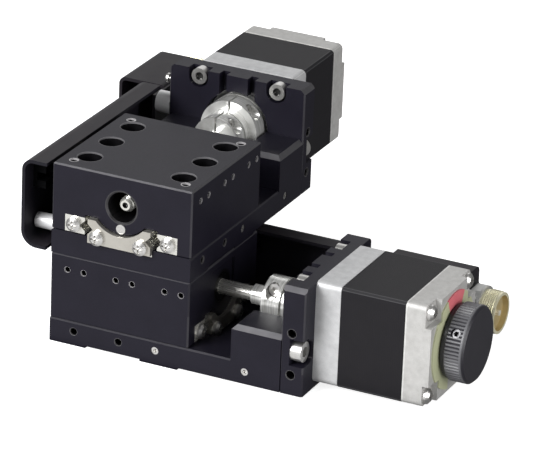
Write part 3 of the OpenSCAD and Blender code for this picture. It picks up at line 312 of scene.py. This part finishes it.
def ground_steel(stage):
    """Rails, rollers, bearing rings and feed screw: steel ground along the travel."""
    f = Finish("ground_steel", stage)
    streak = f.grain(0.12, (60, 1, 1))
    share = streak * 0.7 + f.grain(5) * 0.3
    colour = f.blend(share, (0.62, 0.61, 0.57), (0.95, 0.94, 0.89))
    # The bearings' ring faces are darkened, and painted shade darkens the centre hole in the end
    # of the feed screw
    height = f.z - AXIS_Z
    ring = within(BEARING_DARK_RADIUS, f.y, height) - within(BEARING_BORE_RADIUS, f.y, height)
    dark_ring = ring * (f.x > BEARING_X)
    centre_hole = within(CENTRE_HOLE_RADIUS, f.y, height) * (f.x < 0)
    colour = f.blend(dark_ring | centre_hole, colour, (0.02, 0.02, 0.022))
    return f.close(colour, 0.18 + streak * 0.16, 0.78, streak, 0.006)


def satin_nickel(stage):
    """Bow-tie end plates and sensor dog: satin plate."""
    f = Finish("satin_nickel", stage)
    fine = f.grain(0.18)
    share = f.grain(4) * 0.7 + fine * 0.3
    colour = f.blend(share, (0.46, 0.44, 0.395), (0.68, 0.655, 0.60))
    return f.close(colour, 0.24 + fine * 0.14, 0.84, fine, 0.008)


def bright_screws(stage):
    """All the screws: bright plate, but black on the one that holds the knob."""
    f = Finish("bright_screws", stage)
    fine = f.grain(0.15)
    cloud = f.grain(1.2)
    colour = f.blend(cloud, (0.56, 0.55, 0.535), (0.84, 0.83, 0.81))
    black = f.blend(cloud, (0.06, 0.06, 0.065), (0.16, 0.16, 0.165))
    colour = f.blend(f.x > KNOB_X, colour, black)
    # Painted shade darkens the sockets of the cap screws in the bracket
    in_bracket = (f.x > BRACKET_X) * (f.x < flange_low.x + 2)
    motor_y = abs(f.y) - MOTOR_SCREW_OFFSET
    motor_z = abs(f.z - AXIS_Z) - MOTOR_SCREW_OFFSET
    motor_sockets = within(MOTOR_SOCKET_RADIUS, motor_y, motor_z)
    foot_sockets = within(FOOT_SOCKET_RADIUS, abs(f.y) - FOOT_SCREW_Y, f.z - FOOT_SCREW_Z)
    colour = f.blend((motor_sockets | foot_sockets) * in_bracket, colour, (0.12, 0.12, 0.12))
    return f.close(colour, 0.24 + fine * 0.18, 0.92, fine, 0.006)


def cast_aluminium(stage):
    """The motor's two castings, the rear one warmer than the front one."""
    f = Finish("cast_aluminium", stage)
    mottle = f.grain(1.8, detail=4)
    pits = f.grain(0.28)
    share = f.clamp(mottle * 0.45 + pits * 0.3 + f.grain(7) * 0.25, 0.3, 0.7)
    colour = f.blend(share, (0.345, 0.344, 0.343), (0.65, 0.65, 0.648))
    colour = f.blend((f.x < rear_low.x - 2) * 0.3, colour, (0.70, 0.71, 0.735))
    # Painted highlights on the chamfers and on the lips next to the bracket and the stack
    lip = (abs(f.x - flange_low.x) < 0.55) | (abs(f.x - rear_low.x) < 0.4)
    colour = f.blend(f.edges() * 0.6 | lip * mottle, colour, (0.92, 0.92, 0.91))
    colour = f.blend((f.x > rear_low.x - 2) * 0.35, colour, (0.56, 0.545, 0.51))
    return f.close(colour, 0.46 + pits * 0.2, 0.35, pits + mottle, 0.035, 0.45)


def black_stack(stage):
    """The motor's stack of thin black sheets."""
    f = Finish("black_stack", stage)
    seam = f.clamp(abs((f.x * (1 / STACK_SHEET)).work("FRACT") - 0.5), 0.36, 0.5)
    fine = f.grain(0.3)
    cloud = f.grain(5)
    share = cloud * 0.6 + fine * 0.4
    colour = f.blend(share, (0.0075, 0.0069, 0.0088), (0.0140, 0.0128, 0.0158))
    colour = f.blend(seam * 0.55, colour, (0.0040, 0.0040, 0.0045))
    # Thin paler lines along both borders of the bevel on each corner, and a faintly paler bevel,
    # are painted highlight
    across = abs(f.y)
    height = abs(f.z - AXIS_Z)
    border = abs(abs(across - height) - STACK_BEVEL) < 0.14
    border = border * (across + height > 2 * stack_half - STACK_BEVEL - 0.3)
    bevel_highlight = border * (0.4 + cloud * 0.6) | f.edges() * 0.15
    colour = f.blend(bevel_highlight, colour, (0.075, 0.075, 0.079))
    bump = fine * 0.4 - seam
    return f.close(colour, 0.46 + fine * 0.15, 0.0, bump, 0.03, 0.4, Specular_IOR_Level=0.22)


def rotor_steel(stage):
    """The motor's rotor and shaft: turned steel."""
    f = Finish("rotor_steel", stage)
    ring = f.grain(0.1, (1, 40, 40))
    share = ring * 0.6 + f.grain(3) * 0.4
    colour = f.blend(share, (0.34, 0.34, 0.34), (0.58, 0.58, 0.57))
    return f.close(colour, 0.25 + ring * 0.2, 1.0, ring, 0.005)


def pale_disc(stage):
    """The flat ring on the motor's rear: pale green with a red patch at the top."""
    f = Finish("pale_disc", stage)
    angle = f.y.work("ARCTAN2", f.z - AXIS_Z)
    patch = (angle > math.radians(-21)) * (angle < math.radians(26))
    fine = f.grain(0.25)
    share = f.grain(3) * 0.7 + fine * 0.3
    pale = f.blend(share, (0.43, 0.445, 0.275), (0.55, 0.565, 0.375))
    red = f.blend(share, (0.60, 0.115, 0.145), (0.79, 0.21, 0.235))
    return f.close(f.blend(patch, pale, red), 0.42 + fine * 0.15, 0.0, fine, 0.01, 0.2)


def satin_aluminium(stage):
    """Spacers of the cover and the box: turned bright aluminium."""
    f = Finish("satin_aluminium", stage)
    ring = f.grain(0.12, (30, 1, 30))
    share = ring * 0.5 + f.grain(3) * 0.5
    colour = f.blend(share, (0.74, 0.74, 0.755), (0.95, 0.95, 0.96))
    return f.close(colour, 0.32 + ring * 0.15, 0.3, ring, 0.006)


def black_plastic(stage):
    """Limit sensors: dull black moulded plastic, darkened further with painted shade of the cover
    around them.
    """
    f = Finish("black_plastic", stage)
    fine = f.grain(0.2)
    colour = f.blend(f.grain(3), (0.0012, 0.0012, 0.0016), (0.0026, 0.0026, 0.0032))
    return f.close(colour, 0.5 + fine * 0.15, 0.0, fine, 0.01, Specular_IOR_Level=0.05)


def gold_plate(stage):
    """The round connector: gold shell and core, grey nut, black sealing ring against the box."""
    f = Finish("gold_plate", stage)
    across = f.y - connector_axis[0]
    height = f.z - connector_axis[1]
    dark_ring = f.x < box_high.x + SEAL_LENGTH
    nut = f.x < shell_start + 0.02
    in_shell = (f.x < shell_end - 0.05) * (f.x > shell_start)
    core = in_shell * within(SHELL_RADIUS - 0.7, across, height)
    contact = core * within(CONTACT_RADIUS, across, height)
    ring = f.grain(0.15, (1, 30, 30))
    share = ring * 0.5 + f.grain(2) * 0.5
    gold = f.blend(share, (0.82, 0.77, 0.52), (1.0, 0.97, 0.76))
    deep = f.blend(share, (0.50, 0.40, 0.20), (0.68, 0.57, 0.33))
    grey = f.blend(share, (0.38, 0.38, 0.375), (0.60, 0.60, 0.585))
    colour = f.blend(core, gold, deep)
    colour = f.blend(contact, colour, (0.95, 0.92, 0.80))
    colour = f.blend(nut, colour, grey)
    colour = f.blend(dark_ring, colour, (0.012, 0.012, 0.013))
    return f.close(colour, 0.28 + ring * 0.18, 0.5 - dark_ring * 0.5, ring, 0.006)


def bronze(stage):
    """Feed nut: turned bronze."""
    f = Finish("bronze", stage)
    ring = f.grain(0.12, (1, 30, 30))
    share = ring * 0.5 + f.grain(3) * 0.5
    colour = f.blend(share, (0.36, 0.23, 0.09), (0.58, 0.40, 0.18))
    return f.close(colour, 0.25 + ring * 0.2, 1.0, ring, 0.006)


def polished_coupling(stage):
    """The slit coupling: polished, with rings left by the lathe."""
    f = Finish("polished_coupling", stage)
    ring = f.grain(0.35, (1, 25, 25), detail=4)
    share = f.clamp(ring * 0.7 + f.grain(1.5, (1, 3, 3)) * 0.3, 0.36, 0.62)
    colour = f.blend(share, (0.50, 0.50, 0.48), (1.0, 1.0, 0.98))
    return f.close(colour, 0.10 + ring * 0.22, 0.6, ring, 0.02, 0.5)


def black_knob(stage):
    """The ribbed knob: black, with a painted highlight on the rib crests and fine rings on its
    face.
    """
    f = Finish("black_knob", stage)
    radius = (f.y ** 2 + (f.z - AXIS_Z) ** 2) ** 0.5
    lathe_pitch = 0.28
    turned = (radius * (2 * math.pi / lathe_pitch)).work("SINE")
    fine = f.grain(0.2)
    share = f.grain(4) * 0.6 + fine * 0.4
    colour = f.blend(share, (0.0125, 0.0118, 0.0165), (0.0260, 0.0248, 0.0325))
    # Painted highlight along the rib crests
    crest = f.clamp(radius, KNOB_RADIUS - 0.28, KNOB_RADIUS - 0.02)
    colour = f.blend(crest * 0.8, colour, (0.145, 0.145, 0.155))
    return f.close(colour, 0.34 + fine * 0.14, 0.0, turned * 0.5 + fine, 0.006)


FINISHES = {
    make.__name__: make
    for make in (
        black_anodised, black_sheet, ground_steel, satin_nickel, bright_screws,
        cast_aluminium, black_stack, rotor_steel, pale_disc, satin_aluminium,
        black_plastic, gold_plate, bronze, polished_coupling, black_knob,
    )
}
finish = {(stage, slot): make(stage) for stage in STAGES for slot, make in FINISHES.items()}

for row in frame["record"]["subparts"]:
    stage = row["node"].split("_")[0]
    slots = frame["nodes"][row["node"]].data.materials
    slots.clear()
    slots.append(finish[stage, row["material_slot"]])


# Added pieces


def root_of(stage):
    """The body that carries a stage's fixed pieces."""
    return "root" if stage == "lower" else "lower_slide"


def finished(shape, stage, name, slot, body):
    """Set a shape, drawn in a stage's millimetres, into its place as a piece on a body."""
    bmesh.ops.remove_doubles(shape, verts=shape.verts, dist=1e-5)
    bmesh.ops.recalc_face_normals(shape, faces=shape.faces)
    shape.transform(STAGE_PLACE[stage])
    mesh = bpy.data.meshes.new(stage + "_" + name)
    shape.to_mesh(mesh)
    shape.free()
    for face in mesh.polygons:
        face.use_smooth = True
    mesh.set_sharp_from_angle(angle=math.radians(32))
    mesh.materials.append(finish[stage, slot])
    piece = bpy.data.objects.new(stage + "_" + name, mesh)
    bpy.context.scene.collection.objects.link(piece)
    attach(piece, body)
    return piece


def spun(shape, outline, centre, steps=64):
    """Turn an outline of (station, radius) pairs about an axis along the travel."""
    points = [shape.verts.new((x, centre[0], centre[1] + r)) for x, r in outline]
    lines = [shape.edges.new(pair) for pair in zip(points, points[1:])]
    bmesh.ops.spin(
        shape, geom=points + lines, cent=(0, *centre), axis=(1, 0, 0),
        angle=2 * math.pi, steps=steps, use_merge=True, use_duplicate=False,
    )


def thread(shape, start, end, root, crest, pitch, centre, steps=24):
    """Wind one ridge round an axis along the travel, from one station to another."""
    section = [(0, root), (pitch * 0.62, root), (pitch * 0.36, crest), (pitch * 0.26, crest)]
    corners = [shape.verts.new((start + x, centre[0], centre[1] + r)) for x, r in section]
    ring = shape.faces.new(corners)
    turns = (end - start - pitch) / pitch
    count = round(turns * steps)
    bmesh.ops.spin(
        shape, geom=[ring, *ring.edges, *ring.verts], cent=(0, *centre), axis=(1, 0, 0),
        dvec=(pitch / steps, 0, 0), angle=2 * math.pi * count / steps, steps=count,
        use_duplicate=False,
    )


# From the centre hole in the screw's end, along its core and its journal, to its far end
SCREW_OUTLINE = [
    (screw_low.x + 1.2, 0),
    (screw_low.x + 0.8, 0.55),
    (screw_low.x, CENTRE_HOLE_RADIUS),
    (screw_low.x, 1.35),
    (screw_low.x + 0.4, CORE_RADIUS),
    (journal_start - 0.3, CORE_RADIUS),
    (journal_start, JOURNAL_RADIUS),
    (screw_high.x - 0.3, JOURNAL_RADIUS),
    (screw_high.x, 1.7),
    (screw_high.x, 0),
]

for stage in STAGES:
    shape = bmesh.new()
    spun(shape, SCREW_OUTLINE, screw_axis)
    thread(
        shape, screw_low.x + 0.5, journal_start - 0.2, THREAD_ROOT, THREAD_CREST, SCREW_PITCH,
        screw_axis,
    )
    screw = finished(shape, stage, "threaded_screw", "ground_steel", stage + "_screw")
    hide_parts(stage + "_feed_screw")

    shape = bmesh.new()
    thread(
        shape, shell_start + 0.5, shell_end - 0.3, SHELL_RADIUS - 0.1, SHELL_RADIUS + 0.2, 0.6,
        connector_axis, steps=48,
    )
    finished(shape, stage, "connector_thread", "gold_plate", root_of(stage))


# Light and floor

AIM = Vector((0.03, 0.02, 0.03))


def lamp(name, place, size, power):
    """A square soft light at a place, turned to the object."""
    light = bpy.data.lights.new(name, "AREA")
    light.shape = "SQUARE"
    light.size = size
    light.energy = power
    holder = bpy.data.objects.new(name, light)
    holder.location = place
    holder.rotation_euler = (AIM - Vector(place)).to_track_quat("-Z", "Y").to_euler()
    bpy.context.scene.collection.objects.link(holder)


lamp("front_left_light", (-0.45, -0.85, 0.60), size=0.6, power=16.3)
lamp("right_light", (1.0, -0.25, 0.22), size=0.8, power=9)
lamp("back_left_light", (-0.45, 1.0, 0.5), size=1.1, power=3.0)


def sheet(name, low, high, height, colour, glow):
    """A level sheet between two corners, which is no part of the object."""
    width, length = high[0] - low[0], high[1] - low[1]
    middle = ((low[0] + high[0]) / 2, (low[1] + high[1]) / 2, height)
    shape = bmesh.new()
    bmesh.ops.create_grid(shape, x_segments=4, y_segments=4, size=0.5)
    bmesh.ops.scale(shape, verts=shape.verts, vec=(width, length, 1))
    bmesh.ops.translate(shape, verts=shape.verts, vec=middle)
    mesh = bpy.data.meshes.new(name)
    shape.to_mesh(mesh)
    shape.free()
    piece = bpy.data.objects.new(name, mesh)
    bpy.context.scene.collection.objects.link(piece)
    paper = Finish(name, "lower")
    shade = paper.blend(paper.grain(40), (colour,) * 3, (colour * 1.02,) * 3)
    mesh.materials.append(
        paper.close(shade, 0.9, Emission_Color=(1, 1, 1, 1), Emission_Strength=glow))
    return piece


floor = sheet("floor", (-3, -3), (3, 3), height=0, colour=0.9, glow=0.8)
floor.visible_glossy = False
floor.visible_diffuse = False

# Lights the front faces from below, as a pale bench does, without showing
reflector = sheet("reflector", (-0.5, -0.6), (0.6, -0.021), height=0.0002, colour=0.02, glow=0.75)
reflector.visible_camera = False
reflector.visible_shadow = False

world = bpy.data.worlds.new("studio")
bpy.context.scene.world = world
world.use_nodes = True
sky = world.node_tree.nodes["Background"].inputs
sky["Color"].default_value = (1, 1, 1, 1)
sky["Strength"].default_value = 0.15

bpy.context.scene.view_settings.view_transform = "Standard"


# Camera, solved from the photo's corners

AZIMUTH, ELEVATION, ROLL = (math.radians(a) for a in (24.703, 23.067, 2.356))
TARGET = Vector((0.032582, 0, 0.036568))
DISTANCE = 1.139764
FOCAL_PIXELS, FRAME_PIXELS, SENSOR = 4450.56, 540, 36.0

back = Vector((
    math.sin(AZIMUTH) * math.cos(ELEVATION),
    -math.cos(AZIMUTH) * math.cos(ELEVATION),
    math.sin(ELEVATION),
))
level = Vector((0, 0, 1)).cross(back).normalized()
rise = back.cross(level)
right = level * math.cos(ROLL) + rise * math.sin(ROLL)
up = rise * math.cos(ROLL) - level * math.sin(ROLL)
lens = bpy.data.cameras.new("camera")
lens.sensor_fit = "HORIZONTAL"
lens.sensor_width = SENSOR
lens.lens = SENSOR * FOCAL_PIXELS / FRAME_PIXELS
lens.clip_start = 0.05
lens.clip_end = 20
camera = bpy.data.objects.new("camera", lens)
turned = Matrix((right, up, back)).transposed().to_4x4()
camera.matrix_world = Matrix.Translation(TARGET + back * DISTANCE) @ turned
bpy.context.scene.collection.objects.link(camera)
bpy.context.scene.camera = camera
